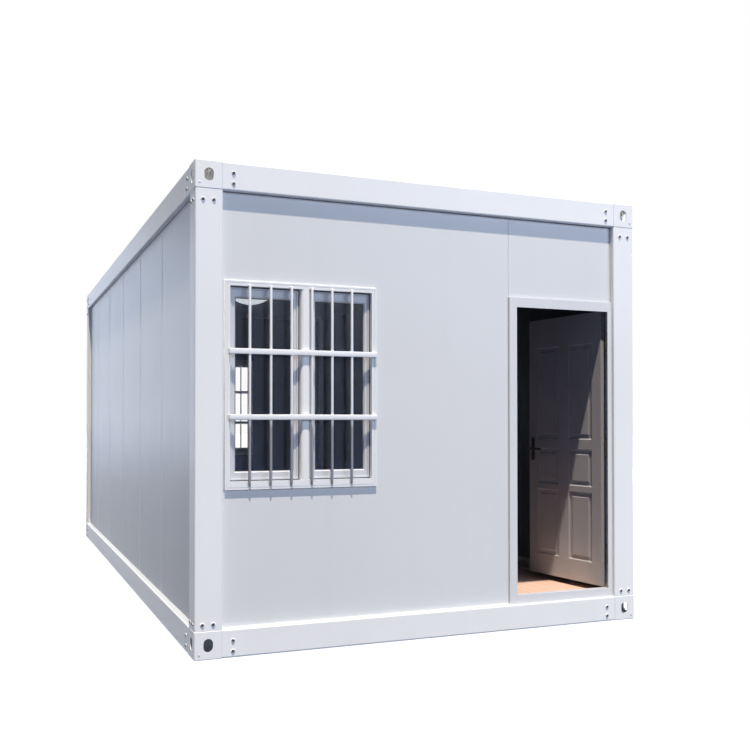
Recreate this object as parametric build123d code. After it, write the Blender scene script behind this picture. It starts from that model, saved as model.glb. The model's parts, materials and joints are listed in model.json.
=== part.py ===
from build123d import *
import os

# Detachable container house: a bolted steel frame with hollow corner fittings, sandwich-panel walls,
# a panelled door that opens inwards and two windows behind security grilles.
# Millimetres, +Z up. The door side faces -Y, and the origin is the middle of the footprint on the ground.

# Overall size
house_length = 5950.0
house_width = 3000.0
house_height = 2800.0

# Corner fittings, folded and welded boxes with a slot in each outer face, the largest above or below
fitting_size = 160.0
fitting_wall = 6.0
fitting_edge_bevel = 4.0
slot_width = 54.0
slot_length = 74.0
end_slot_width = 60.0
end_slot_length = 116.0
slot_sides = 16

# Cold-formed posts and beams, a little behind the faces of the fittings
face_setback = 1.5
post_side_width = 145.0
beam_depth = 125.0
beam_lip = 28.0
steel_wall = 4.0
bend_radius = 8.0
bend_flat_share = 0.586

# Sandwich-panel walls
wall_recess = 36.0
wall_thickness = 75.0
panel_module = 950.0
side_first_share = 0.58
seam_gap = 0.8
seam_bevel = 2.0

# Floor
joist_height = 80.0
joist_width = 50.0
joist_count = 11
deck_thickness = 20.0
deck_clearance = 2.0

# Roof and ceiling
ceiling_rise = 5.0
ceiling_thickness = 12.0
purlin_height = 80.0
purlin_width = 50.0
purlin_count = 11
roof_gauge = 3.0
roof_rib_height = 32.0
roof_rib_pitch = 240.0
roof_crest_share = 0.14
roof_foot_share = 0.30

# Ceiling lamps
lamp_diameter = 400.0
lamp_sides = 32
lamp_base_height = 22.0
lamp_dome_height = 62.0
lamp_rim = 8.0
lamp_offset = 1265.0
lamp_ring_shares = (1.0, 0.92, 0.75, 0.5, 0.2)

# Door frame, beside the right-hand front post
door_frame_width = 797.0
door_frame_height = 1970.0
door_latch_jamb = 55.0
door_hinge_jamb = 35.0
door_head_height = 62.0
door_sill_height = 54.0
door_frame_proud = 15.0
door_stop_thickness = 6.0
door_stop_width = 15.0
door_hinge_stop_width = 27.0

# Door leaf
leaf_thickness = 34.0
leaf_stop_gap = 5.0
leaf_edge_gap = 7.0
leaf_end_gap = 5.0
leaf_open_angle = 83.0
leaf_stile = 85.0
leaf_middle_stile = 100.0
leaf_row_shares = ((0.0785, 0.335), (0.3556, 0.4943), (0.5304, 0.8892))
pocket_depth = 6.0
pocket_slope = 9.0
field_inset = 30.0
field_height = 4.5

# Door hinges
hinge_length = 105.0
hinge_knuckle_radius = 7.0
hinge_pin_radius = 4.0
hinge_bore_clearance = 0.3
hinge_axis_gap = 1.0
hinge_end_gap = 0.5
hinge_plate_thickness = 3.0
hinge_plate_width = 8.0
hinge_leaf_plate_width = 32.0
hinge_plate_gap = 4.0
hinge_height_shares = (0.11, 0.5, 0.89)

# Door handle
handle_height_share = 0.49
handle_backset = 44.0
handle_plate_width = 36.0
handle_plate_height = 170.0
handle_plate_thickness = 6.0
handle_neck_radius = 9.0
handle_neck_length = 24.0
handle_lever_length = 118.0
handle_lever_height = 18.0
handle_lever_thickness = 12.0
handle_lever_bevel = 4.0

# Windows, the same unit in the front and the rear wall
window_width = 934.0
window_height = 1192.0
window_sill_z = 942.0
window_post_gap = 18.0
window_side = 30.0
window_head = 29.0
window_foot = 47.0
window_mullion = 63.0
window_left_share = 0.5216
window_flange = 15.0
window_flange_proud = 15.0
window_rim = 10.0
window_groove = 3.0
window_mullion_round = 20.0
window_fit_gap = 1.0
window_inner_proud = 5.0
rear_panel_margin = 213.0
rear_window_shift = 25.0
rear_window_sill_z = 906.0

# Window sashes and glass
sash_recess = 34.0
sash_depth = 40.0
sash_side = 31.0
sash_foot = 46.0
sash_head = 56.0
sash_fit_gap = 0.3
glass_lip = 12.0
glass_rebate = 10.0
glass_thickness = 6.0

# Security grilles
grille_bar_diameter = 16.0
grille_bar_sides = 10
grille_rail_height = 32.0
grille_rail_depth = 18.0
grille_bar_count = 6
grille_first_share = 0.153
grille_pitch_share = 0.1345
grille_rail_shares = (0.3465, 0.662)
grille_end_share = 0.6
grille_foot_share = 0.38
grille_left_overlap = 8.0
grille_right_overlap = 27.0

# One overrun for every cutting tool
cut_overrun = 5.0

# Worked-out places
half_width = house_width / 2
half_length = house_length / 2
member_height = fitting_size - face_setback
post_width = fitting_size - face_setback
floor_frame_z = fitting_size
roof_frame_z = house_height - fitting_size
wall_height = roof_frame_z - floor_frame_z
fitting_inner_x = half_width - fitting_size
fitting_inner_y = half_length - fitting_size
post_inner_y = half_length - face_setback - post_side_width
beam_inner_x = half_width - face_setback - beam_depth
beam_inner_y = half_length - face_setback - beam_depth
wall_outer_x = half_width - wall_recess
wall_outer_y = half_length - wall_recess
wall_inner_x = wall_outer_x - wall_thickness
wall_inner_y = wall_outer_y - wall_thickness
deck_top_z = floor_frame_z + deck_thickness
ceiling_z = roof_frame_z + ceiling_rise
purlin_z = ceiling_z + ceiling_thickness
roof_sheet_z = purlin_z + purlin_height

door_right = fitting_inner_x
door_left = door_right - door_frame_width
door_front_y = -wall_outer_y - door_frame_proud
door_stop_y = door_front_y + door_stop_thickness
leaf_front_y = door_stop_y + leaf_stop_gap
leaf_back_y = leaf_front_y + leaf_thickness
door_top_z = floor_frame_z + door_frame_height
door_sill_z = floor_frame_z + door_sill_height
opening_left = door_left + door_latch_jamb
opening_right = door_right - door_hinge_jamb
opening_top_z = door_top_z - door_head_height
rebate_left = opening_left - door_stop_width
rebate_right = opening_right + door_hinge_stop_width
rebate_top_z = opening_top_z + door_stop_width
leaf_left = rebate_left + leaf_edge_gap
leaf_right = rebate_right - leaf_edge_gap
leaf_bottom_z = door_sill_z + leaf_end_gap
leaf_top_z = rebate_top_z - leaf_end_gap
leaf_width = leaf_right - leaf_left
leaf_height = leaf_top_z - leaf_bottom_z
hinge_axis_x = rebate_right
hinge_axis_y = leaf_back_y + hinge_knuckle_radius + hinge_axis_gap
hinge_axis = Axis((hinge_axis_x, hinge_axis_y, 0), (0, 0, 1))


def block(x0, x1, y0, y1, z0, z1):
    """A rectangular solid between two corners."""
    middle = Pos((x0 + x1) / 2, (y0 + y1) / 2, (z0 + z1) / 2)
    return middle * Box(x1 - x0, y1 - y0, z1 - z0)


def save(name, *solids):
    """Writes the solids of one named piece."""
    shape = solids[0] if len(solids) == 1 else Compound(children=list(solids))
    export_step(shape, f"parts/{name}.step")


# Corner fittings

def lifting_slot(wide, long):
    """An upright obround, its round ends drawn with few sides."""
    end = RegularPolygon(wide / 2, slot_sides, major_radius=False, rotation=180 / slot_sides)
    reach = (long - wide) / 2
    return make_hull((Pos(0, reach) * end).edges() + (Pos(0, -reach) * end).edges())


def corner_fitting(side_x, side_y, side_z):
    """A hollow bevelled box with a lifting slot in its three outer faces."""
    shell = Box(fitting_size, fitting_size, fitting_size)
    shell = chamfer(shell.edges(), fitting_edge_bevel)
    inside = fitting_size - 2 * fitting_wall
    shell = shell - Box(inside, inside, inside)
    slot = lifting_slot(slot_width, slot_length)
    end_slot = lifting_slot(end_slot_width, end_slot_length)
    shell = shell - extrude(Plane.YZ * slot, amount=fitting_size, dir=(side_x, 0, 0))
    shell = shell - extrude(Plane.XZ * slot, amount=fitting_size, dir=(0, side_y, 0))
    shell = shell - extrude(Plane.XY * end_slot, amount=fitting_size, dir=(0, 0, side_z))
    middle_x = side_x * (half_width - fitting_size / 2)
    middle_y = side_y * (half_length - fitting_size / 2)
    middle_z = fitting_size / 2 if side_z < 0 else house_height - fitting_size / 2
    return Pos(middle_x, middle_y, middle_z) * shell


# Posts and beams

def folded_tube(wide, tall):
    """A tube section with round outer bends and a flat across each bend inside."""
    inner = Rectangle(wide - 2 * steel_wall, tall - 2 * steel_wall)
    inner = chamfer(inner.vertices(), (bend_radius - steel_wall) * bend_flat_share)
    return RectangleRounded(wide, tall, bend_radius) - inner


def post(side_x, side_y):
    """A folded box-section corner post."""
    section = folded_tube(post_width, post_side_width)
    middle_x = side_x * (half_width - face_setback - post_width / 2)
    middle_y = side_y * (half_length - face_setback - post_side_width / 2)
    return Pos(middle_x, middle_y, floor_frame_z) * extrude(section, amount=wall_height)


def beam_section():
    """A lipped channel, its open side to +X and its height along Y."""
    mouth = Pos(beam_depth / 2, 0) * Rectangle(beam_depth, member_height - 2 * beam_lip)
    return folded_tube(beam_depth, member_height) - mouth


def beam(inward, reach, half_run, base_z):
    """A beam whose channel opens towards the middle of the house."""
    facing = Vector(inward[0], inward[1], 0)
    place = Plane(
        origin=facing * -reach + Vector(0, 0, base_z + member_height / 2),
        x_dir=facing,
        z_dir=facing.cross(Vector(0, 0, 1)),
    )
    return extrude(place * beam_section(), amount=half_run, both=True)


# Floor

def cross_tubes(count, tube_width, tube_height, base_z):
    """Evenly spaced box tubes that span from one side beam to the other."""
    section = Rectangle(tube_width, tube_height)
    section = section - Rectangle(tube_width - 2 * steel_wall, tube_height - 2 * steel_wall)
    tube = extrude(Plane.YZ * section, amount=beam_inner_x, both=True)
    pitch = 2 * beam_inner_y / (count + 1)
    rows = range(1, count + 1)
    return [Pos(0, row * pitch - beam_inner_y, base_z + tube_height / 2) * tube for row in rows]


def floor_deck():
    """A board on the joists, notched round the posts and run out to the door sill."""
    edge_x = wall_inner_x - deck_clearance
    edge_y = wall_inner_y - deck_clearance
    deck = block(-edge_x, edge_x, -edge_y, edge_y, floor_frame_z, deck_top_z)
    for side_x in (-1, 1):
        for side_y in (-1, 1):
            notch = Box(
                2 * (edge_x - fitting_inner_x + deck_clearance),
                2 * (edge_y - post_inner_y + deck_clearance),
                2 * deck_thickness,
            )
            deck = deck - Pos(side_x * edge_x, side_y * edge_y, deck_top_z) * notch
    tongue_left = opening_left
    tongue_right = fitting_inner_x - deck_clearance
    tongue_end = -post_inner_y + deck_clearance
    return deck + block(tongue_left, tongue_right, leaf_back_y, tongue_end, floor_frame_z, deck_top_z)


# Roof

def clear_of_fittings(sheet, base_z, depth):
    """Notches a sheet at the four corner fittings."""
    for side_x in (-1, 1):
        for side_y in (-1, 1):
            corner = Pos(side_x * half_width, side_y * half_length, base_z + depth / 2)
            notch_size = 2 * (fitting_size + deck_clearance)
            sheet = sheet - corner * Box(notch_size, notch_size, depth + 2 * cut_overrun)
    return sheet


def ceiling_panel():
    """The lining under the purlins."""
    panel = block(-beam_inner_x, beam_inner_x, -beam_inner_y, beam_inner_y, ceiling_z, purlin_z)
    return clear_of_fittings(panel, ceiling_z, ceiling_thickness)


def roof_sheet():
    """A ribbed steel sheet, its ribs across the house so that it drains to the long sides."""
    run = 2 * beam_inner_y
    rib_count = int(run // roof_rib_pitch)
    margin = (run - rib_count * roof_rib_pitch) / 2
    upper = [(-beam_inner_y, roof_gauge)]
    for rib in range(rib_count):
        middle = -beam_inner_y + margin + (rib + 1 / 2) * roof_rib_pitch
        foot = roof_foot_share * roof_rib_pitch / 2
        crest = roof_crest_share * roof_rib_pitch / 2
        upper.append((middle - foot, roof_gauge))
        upper.append((middle - crest, roof_gauge + roof_rib_height))
        upper.append((middle + crest, roof_gauge + roof_rib_height))
        upper.append((middle + foot, roof_gauge))
    upper.append((beam_inner_y, roof_gauge))
    lower = [(y, z - roof_gauge) for y, z in reversed(upper)]
    outline = make_face(Polyline(upper + lower, close=True))
    sheet = extrude(Plane.YZ * outline, amount=beam_inner_x, both=True)
    sheet = Pos(0, 0, roof_sheet_z) * sheet
    return clear_of_fittings(sheet, roof_sheet_z, roof_rib_height + roof_gauge)


def ceiling_lamp(middle_y):
    """A shallow round lamp, a base drum with a diffuser of a few rings that make a dome under it."""
    radius = lamp_diameter / 2
    dome_radius = radius - lamp_rim
    lamp = extrude(RegularPolygon(radius, lamp_sides), amount=-lamp_base_height)
    rings = []
    for share in lamp_ring_shares:
        drop = lamp_base_height + lamp_dome_height * (1 - share**2)
        rings.append(Pos(0, 0, -drop) * RegularPolygon(dome_radius * share, lamp_sides))
    for upper, lower in zip(rings, rings[1:]):
        lamp = lamp + loft([upper, lower], ruled=True)
    return Pos(0, middle_y, ceiling_z) * lamp


# Walls

def panel_edges(start, end, first_share):
    """Seam places: whole panels in the middle, and the rest shared out to the two ends."""
    whole = int((end - start) // panel_module) - 1
    rest = (end - start) - whole * panel_module
    edges = [start, start + rest * first_share]
    for _ in range(whole):
        edges.append(edges[-1] + panel_module)
    return edges + [end]


def end_panel(x0, x1, y0, z0, z1):
    """A panel of a front or rear wall, with bevelled upright edges at its seams."""
    section = Rectangle(x1 - x0 - seam_gap, wall_thickness)
    section = chamfer(section.vertices(), seam_bevel)
    return Pos((x0 + x1) / 2, y0 + wall_thickness / 2, z0) * extrude(section, amount=z1 - z0)


def side_wall(side_x):
    """The panels of one long wall."""
    middle_x = side_x * (wall_outer_x - wall_thickness / 2)
    edges = panel_edges(-post_inner_y, post_inner_y, side_first_share)
    panels = []
    for y0, y1 in zip(edges, edges[1:]):
        section = chamfer(Rectangle(wall_thickness, y1 - y0 - seam_gap).vertices(), seam_bevel)
        panels.append(Pos(middle_x, (y0 + y1) / 2, floor_frame_z) * extrude(section, amount=wall_height))
    return panels


# Window unit, drawn from its outer lower left corner with the wall's outer face at y = 0

body_inset = window_flange
body_back = wall_thickness + window_inner_proud
clear_width = window_width - 2 * window_side - window_mullion
left_light = (window_side, window_side + clear_width * window_left_share)
right_light = (left_light[1] + window_mullion, window_width - window_side)
light_bottom = window_foot
light_top = window_height - window_head
sash_front = sash_recess - window_flange_proud
sash_back = sash_front + sash_depth
glass_front = sash_front + glass_lip


def window_hole():
    """The cut in the wall panel for one window unit."""
    low = body_inset - window_fit_gap
    right = window_width - low
    top = window_height - low
    return block(low, right, -cut_overrun, wall_thickness + cut_overrun, low, top)


def flange_plate(inset):
    """A plate as deep as the groove of the flange, let into its front face."""
    depth = -window_flange_proud + window_groove
    near = -window_flange_proud - cut_overrun
    return block(inset, window_width - inset, near, depth, inset, window_height - inset)


def window_frame():
    """The fixed frame: a grooved flange on the wall, a body through it and a round mullion."""
    flange = block(0, window_width, -window_flange_proud, 0, 0, window_height)
    right = window_width - body_inset
    top = window_height - body_inset
    frame = flange + block(body_inset, right, 0, body_back, body_inset, top)
    for x0, x1 in (left_light, right_light):
        near = -window_flange_proud - cut_overrun
        frame = frame - block(x0, x1, near, body_back + cut_overrun, light_bottom, light_top)
    uprights = frame.edges().filter_by(Axis.Z).filter_by_position(Axis.X, left_light[1], right_light[0])
    uprights = uprights.filter_by_position(Axis.Y, -window_flange_proud, -window_flange_proud)
    frame = fillet(uprights, window_mullion_round)
    groove = flange_plate(window_rim) - flange_plate(window_rim + window_groove)
    return frame - groove


def window_sash(x0, x1):
    """One sash with a rebate behind its lip for the glass."""
    left = x0 + sash_fit_gap
    right = x1 - sash_fit_gap
    top = light_top - sash_fit_gap
    sash = block(left, right, sash_front, sash_back, light_bottom, top)
    inner_left = left + sash_side
    inner_right = right - sash_side
    inner_bottom = light_bottom + sash_foot
    inner_top = top - sash_head
    near = sash_front - cut_overrun
    far = sash_back + cut_overrun
    sash = sash - block(inner_left, inner_right, near, far, inner_bottom, inner_top)
    return sash - block(
        inner_left - glass_rebate,
        inner_right + glass_rebate,
        glass_front,
        far,
        inner_bottom - glass_rebate,
        inner_top + glass_rebate,
    )


def window_pane(x0, x1):
    """The glass in one sash, seated in its rebate."""
    cover = sash_side - glass_rebate + sash_fit_gap
    bottom = light_bottom + sash_foot - glass_rebate
    top = light_top - sash_head + glass_rebate - sash_fit_gap
    back = glass_front + glass_thickness
    return block(x0 + cover, x1 - cover, glass_front, back, bottom, top)


def window_grille():
    """Upright bars of few sides through two flat rails that lie on the window's flange."""
    back_y = -window_flange_proud
    front_y = back_y - grille_rail_depth
    foot = window_foot * grille_foot_share
    head = window_height - window_head * grille_end_share
    rail_left = window_side - grille_left_overlap
    rail_right = window_width - window_side + grille_right_overlap
    lattice = None
    for share in grille_rail_shares:
        z0 = share * window_height - grille_rail_height / 2
        rail = block(rail_left, rail_right, front_y, back_y, z0, z0 + grille_rail_height)
        lattice = rail if lattice is None else lattice + rail
    for number in range(grille_bar_count):
        x = window_width * (grille_first_share + number * grille_pitch_share)
        bar = extrude(RegularPolygon(grille_bar_diameter / 2, grille_bar_sides), amount=head - foot)
        lattice = lattice + Pos(x, (front_y + back_y) / 2, foot) * bar
    return lattice


# Door

def door_frame():
    """A welded frame, its thin outer lip the stop that the leaf closes against."""
    frame = block(door_left, door_right, door_front_y, leaf_back_y, floor_frame_z, door_top_z)
    near = door_front_y - cut_overrun
    far = leaf_back_y + cut_overrun
    frame = frame - block(opening_left, opening_right, near, far, door_sill_z, opening_top_z)
    return frame - block(rebate_left, rebate_right, door_stop_y, far, door_sill_z, rebate_top_z)


def leaf_panel(x0, x1, z0, z1, face_y, inward):
    """The cut and the raised field of one pressed panel on one face of the leaf."""
    middle = ((x0 + x1) / 2, face_y, (z0 + z1) / 2)
    into = Plane(origin=middle, x_dir=(1, 0, 0), z_dir=(0, inward, 0))
    wide = x1 - x0
    tall = z1 - z0
    pocket = loft([
        into * Rectangle(wide, tall),
        into.offset(pocket_depth) * Rectangle(wide - 2 * pocket_slope, tall - 2 * pocket_slope),
    ])
    floor = into.offset(pocket_depth)
    raised = into.offset(pocket_depth - field_height)
    field_wide = wide - 2 * field_inset
    field_tall = tall - 2 * field_inset
    field = loft([
        floor * Rectangle(field_wide, field_tall),
        raised * Rectangle(field_wide - 2 * pocket_slope, field_tall - 2 * pocket_slope),
    ])
    return pocket, field


def door_leaf():
    """A six-panel leaf, drawn shut."""
    leaf = block(leaf_left, leaf_right, leaf_front_y, leaf_back_y, leaf_bottom_z, leaf_top_z)
    panel_width = (leaf_width - 2 * leaf_stile - leaf_middle_stile) / 2
    columns = (leaf_left + leaf_stile, leaf_right - leaf_stile - panel_width)
    for low_share, high_share in leaf_row_shares:
        z0 = leaf_bottom_z + low_share * leaf_height
        z1 = leaf_bottom_z + high_share * leaf_height
        for x0 in columns:
            for face_y, inward in ((leaf_front_y, 1), (leaf_back_y, -1)):
                pocket, field = leaf_panel(x0, x0 + panel_width, z0, z1, face_y, inward)
                leaf = leaf - pocket + field
    return leaf


def hinge_heights():
    """The lower ends of the hinges."""
    return [leaf_bottom_z + share * leaf_height - hinge_length / 2 for share in hinge_height_shares]


def hinge_cylinder(radius, base_z, tall):
    """A round piece on the hinge axis."""
    return Pos(hinge_axis_x, hinge_axis_y, base_z) * extrude(Circle(radius), amount=tall)


def frame_hinge(base_z):
    """The half on the frame: a plate, two outer knuckles and the pin."""
    third = hinge_length / 3
    plate_right = hinge_axis_x + hinge_plate_width
    plate_back = leaf_back_y + hinge_plate_thickness
    plate = block(hinge_axis_x, plate_right, leaf_back_y, plate_back, base_z, base_z + hinge_length)
    middle_radius = hinge_knuckle_radius + hinge_end_gap
    plate = plate - hinge_cylinder(middle_radius, base_z + third - hinge_end_gap, third + 2 * hinge_end_gap)
    knuckle = third - hinge_end_gap
    half = plate + hinge_cylinder(hinge_knuckle_radius, base_z, knuckle)
    half = half + hinge_cylinder(hinge_knuckle_radius, base_z + hinge_length - knuckle, knuckle)
    return half + hinge_cylinder(hinge_pin_radius, base_z, hinge_length)


def leaf_hinge(base_z):
    """The half on the leaf: a plate and the bored middle knuckle."""
    third = hinge_length / 3
    plate_left = leaf_right - hinge_leaf_plate_width
    plate_right = hinge_axis_x - hinge_plate_gap
    plate_back = leaf_back_y + hinge_plate_thickness
    plate = block(plate_left, plate_right, leaf_back_y, plate_back, base_z, base_z + hinge_length)
    outer_radius = hinge_knuckle_radius + hinge_end_gap
    plate = plate - hinge_cylinder(outer_radius, base_z, third)
    plate = plate - hinge_cylinder(outer_radius, base_z + 2 * third, third)
    half = plate + hinge_cylinder(hinge_knuckle_radius, base_z + third, third)
    return half - hinge_cylinder(hinge_pin_radius + hinge_bore_clearance, base_z, hinge_length)


def lever_handle(face_y, outward):
    """A back plate, a neck and a lever on one face of the leaf, drawn shut."""
    x = leaf_left + handle_backset
    z = leaf_bottom_z + handle_height_share * leaf_height
    out = Plane(origin=(x, face_y, z), x_dir=(1, 0, 0), z_dir=(0, outward, 0))
    plate = RectangleRounded(handle_plate_width, handle_plate_height, handle_plate_width / 3)
    handle = extrude(out * plate, handle_plate_thickness)
    handle = handle + extrude(out * Circle(handle_neck_radius), handle_plate_thickness + handle_neck_length)
    lever_middle = handle_lever_length / 2 - handle_neck_radius
    lever = Rectangle(handle_lever_length, handle_lever_height)
    lever = chamfer(lever.vertices(), handle_lever_bevel)
    lever_base = out.offset(handle_plate_thickness + handle_neck_length - handle_lever_thickness)
    return handle + extrude(lever_base * Pos(lever_middle, 0) * lever, handle_lever_thickness)


def swing(solid):
    """Turns a piece of the shut door to where the door stands open."""
    return solid.rotate(hinge_axis, -leaf_open_angle)


# Write every piece
os.makedirs("parts", exist_ok=True)

ends = (("front", -1), ("rear", 1))
sides = (("left", -1), ("right", 1))
for end_name, side_y in ends:
    for side_name, side_x in sides:
        save(f"bottom_fitting_{end_name}_{side_name}", corner_fitting(side_x, side_y, -1))
        save(f"top_fitting_{end_name}_{side_name}", corner_fitting(side_x, side_y, 1))
        save(f"post_{end_name}_{side_name}", post(side_x, side_y))

beam_reach_x = half_width - face_setback - beam_depth / 2
beam_reach_y = half_length - face_setback - beam_depth / 2
for level, base_z in (("bottom", face_setback), ("top", roof_frame_z)):
    for side_name, side_x in sides:
        save(f"{level}_beam_{side_name}", beam((-side_x, 0), beam_reach_x, fitting_inner_y, base_z))
    for end_name, side_y in ends:
        save(f"{level}_beam_{end_name}", beam((0, -side_y), beam_reach_y, fitting_inner_x, base_z))

save("floor_joists", *cross_tubes(joist_count, joist_width, joist_height, floor_frame_z - joist_height))
save("floor_deck", floor_deck())
save("roof_purlins", *cross_tubes(purlin_count, purlin_width, purlin_height, purlin_z))
save("roof_sheet", roof_sheet())
save("ceiling_panel", ceiling_panel())
save("ceiling_lamps", ceiling_lamp(-lamp_offset), ceiling_lamp(lamp_offset))

save("left_wall", *side_wall(-1))
save("right_wall", *side_wall(1))
window_left = -fitting_inner_x + window_post_gap
front_window_place = Pos(window_left, -wall_outer_y, window_sill_z)
rear_window_right = window_width / 2 + rear_window_shift
rear_window_place = Pos(rear_window_right, wall_outer_y, rear_window_sill_z) * Rot(0, 0, 180)
window_panel = end_panel(-fitting_inner_x, door_left, -wall_outer_y, floor_frame_z, roof_frame_z)
save("front_window_panel", window_panel - front_window_place * window_hole())
save("front_over_door_panel", end_panel(door_left, door_right, -wall_outer_y, door_top_z, roof_frame_z))
rear_right = rear_window_right + rear_panel_margin
rear_left = rear_right - window_width - 2 * rear_panel_margin
rear_panel = end_panel(rear_left, rear_right, wall_inner_y, floor_frame_z, roof_frame_z)
save("rear_window_panel", rear_panel - rear_window_place * window_hole())
save(
    "rear_wall",
    end_panel(-fitting_inner_x, rear_left, wall_inner_y, floor_frame_z, roof_frame_z),
    end_panel(rear_right, fitting_inner_x, wall_inner_y, floor_frame_z, roof_frame_z),
)

for end_name, place in (("front", front_window_place), ("rear", rear_window_place)):
    save(f"{end_name}_window_frame", place * window_frame())
    save(f"{end_name}_window_sashes", *[place * window_sash(*light) for light in (left_light, right_light)])
    save(f"{end_name}_window_glass", *[place * window_pane(*light) for light in (left_light, right_light)])
    save(f"{end_name}_window_grille", place * window_grille())

save("door_frame", door_frame())
save("door_leaf", swing(door_leaf()))
save("door_handle", swing(lever_handle(leaf_front_y, -1)), swing(lever_handle(leaf_back_y, 1)))
save("door_hinges_frame", *[frame_hinge(base_z) for base_z in hinge_heights()])
save("door_hinges_leaf", *[swing(leaf_hinge(base_z)) for base_z in hinge_heights()])
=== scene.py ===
import json
import math

import bmesh
import bpy
from mathutils import Matrix, Vector


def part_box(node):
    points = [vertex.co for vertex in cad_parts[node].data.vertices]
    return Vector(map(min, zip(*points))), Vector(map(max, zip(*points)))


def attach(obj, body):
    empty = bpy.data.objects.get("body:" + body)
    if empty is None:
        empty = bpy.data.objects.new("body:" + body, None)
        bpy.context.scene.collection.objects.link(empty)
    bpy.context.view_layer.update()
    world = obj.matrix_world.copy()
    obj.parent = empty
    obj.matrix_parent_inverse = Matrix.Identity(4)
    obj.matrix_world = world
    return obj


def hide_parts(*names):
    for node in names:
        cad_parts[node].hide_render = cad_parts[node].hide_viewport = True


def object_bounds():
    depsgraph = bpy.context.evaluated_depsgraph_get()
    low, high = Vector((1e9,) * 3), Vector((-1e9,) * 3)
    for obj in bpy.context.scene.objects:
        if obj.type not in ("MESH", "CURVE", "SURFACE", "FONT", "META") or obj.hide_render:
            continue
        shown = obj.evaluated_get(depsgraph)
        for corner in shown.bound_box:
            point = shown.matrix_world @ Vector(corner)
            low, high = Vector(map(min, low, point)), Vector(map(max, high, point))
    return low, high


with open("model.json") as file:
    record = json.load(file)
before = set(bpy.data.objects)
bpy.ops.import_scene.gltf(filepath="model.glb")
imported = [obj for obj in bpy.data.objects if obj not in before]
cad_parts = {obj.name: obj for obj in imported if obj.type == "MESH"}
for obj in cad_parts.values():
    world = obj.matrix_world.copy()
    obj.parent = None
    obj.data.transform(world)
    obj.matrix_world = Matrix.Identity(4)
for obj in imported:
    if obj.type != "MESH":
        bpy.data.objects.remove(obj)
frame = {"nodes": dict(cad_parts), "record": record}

cad_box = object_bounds()
nodes = frame["nodes"]
scene = bpy.context.scene

# Places read from the frame, in metres
half_width = cad_box[1].x
half_length = cad_box[1].y
house_height = cad_box[1].z
steel_face_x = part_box("top_beam_right")[1].x
steel_face_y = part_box("top_beam_rear")[1].y
wall_face_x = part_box("right_wall")[1].x
wall_face_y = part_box("rear_wall")[1].y
lining_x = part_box("right_wall")[0].x
lining_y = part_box("rear_wall")[0].y
wall_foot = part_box("left_wall")[0].z
wall_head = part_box("left_wall")[1].z
post_inner_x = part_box("post_front_right")[0].x
post_inner_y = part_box("post_rear_right")[0].y
deck_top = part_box("floor_deck")[1].z
door_frame_low, door_frame_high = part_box("door_frame")
window_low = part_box("front_window_frame")[0]
sash_low, sash_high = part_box("front_window_sashes")
glass_low, glass_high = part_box("front_window_glass")
grille_low, grille_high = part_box("front_window_grille")
swing_joint = frame["record"]["behaviour"]["joints"][0]
hinge_x, hinge_y = swing_joint["pos_m"][:2]
leaf_open_angle = -math.radians(swing_joint["range_deg"][0])

# Bolts of the steel frame, measured from the outer edge and the ends of each face
beam_bolt_offset = 0.222
beam_bolt_drops = (0.061, 0.121)
beam_bolt_rises = (0.038, 0.097)
post_bolt_offsets = (0.046, 0.108)
post_bolt_drop = 0.222
post_bolt_rise = 0.196
washer_radius = 0.0130
washer_height = 0.0040
bolt_radius = 0.0092
bolt_height = 0.0034
bolt_socket_share = 0.42
bolt_socket_depth = 0.0026
plug_radius = 0.0070
plug_height = 0.0025
plug_offset = 0.027
plug_drop = 0.127
plug_rise = 0.029
fitting_skin = 0.0045

# Wall panels
first_panel = 1.0771
panel_module = 0.950
side_seams = 5
seam_bead = 0.0060
seam_sink_share = 0.15
head_seal_wide = 0.004
head_seal_tall = 0.005
head_seal_corner = 0.0015
foot_bead_size = 0.006
foot_bead_corner = 0.002
foot_bead_rise = 0.0025

# Window unit, from its outer lower left corner with the wall's outer face at y = 0
flange_proud = -wall_face_y - window_low.y
window_lights = ((0.0300, 0.4530), (0.5160, 0.9040))
light_bottom = sash_low.z - window_low.z
light_top = sash_high.z - window_low.z
sash_front = sash_low.y + wall_face_y
sash_back = sash_high.y + wall_face_y
sash_side = 0.0313
sash_foot = 0.0460
sash_head = 0.0560
glass_front = glass_low.y + wall_face_y
glass_back = glass_high.y + wall_face_y
glass_rebate = 0.010

# Security grille
bar_radius = 0.0080
bar_foot = grille_low.z - window_low.z
bar_head = grille_high.z - window_low.z
bar_count = 6
bar_span = 0.934
bar_start_share = 0.153
bar_step_share = 0.1345
bar_places = tuple(bar_span * (bar_start_share + number * bar_step_share) for number in range(bar_count))
rail_height = 0.032
rail_depth = grille_high.y - grille_low.y
rail_left = grille_low.x - window_low.x
rail_right = grille_high.x - window_low.x
rail_places = (0.4130, 0.7891)
rail_corner = 0.004

# Door, drawn shut
leaf_thickness = 0.034
latch_jamb = 0.047
hinge_to_leaf = 0.007
leaf_left = door_frame_low.x + latch_jamb
leaf_right = hinge_x - hinge_to_leaf
leaf_back = door_frame_high.y
leaf_front = leaf_back - leaf_thickness
leaf_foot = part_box("door_leaf")[0].z
leaf_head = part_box("door_leaf")[1].z
stop_depth = 0.006
left_jamb = 0.055
right_jamb = 0.035
head_jamb = 0.062
stop_back = door_frame_low.y + stop_depth
opening_left = door_frame_low.x + left_jamb
opening_right = door_frame_high.x - right_jamb
opening_top = door_frame_high.z - head_jamb
latch_gap = 0.007
edge_reach = 0.0006
door_seal_wide = 0.009
door_seal_thick = 0.004
door_seal_corner = 0.0015
door_seal_lap = 0.0075
door_seal_reach = 0.012
door_seal_rise = 0.002

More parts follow.
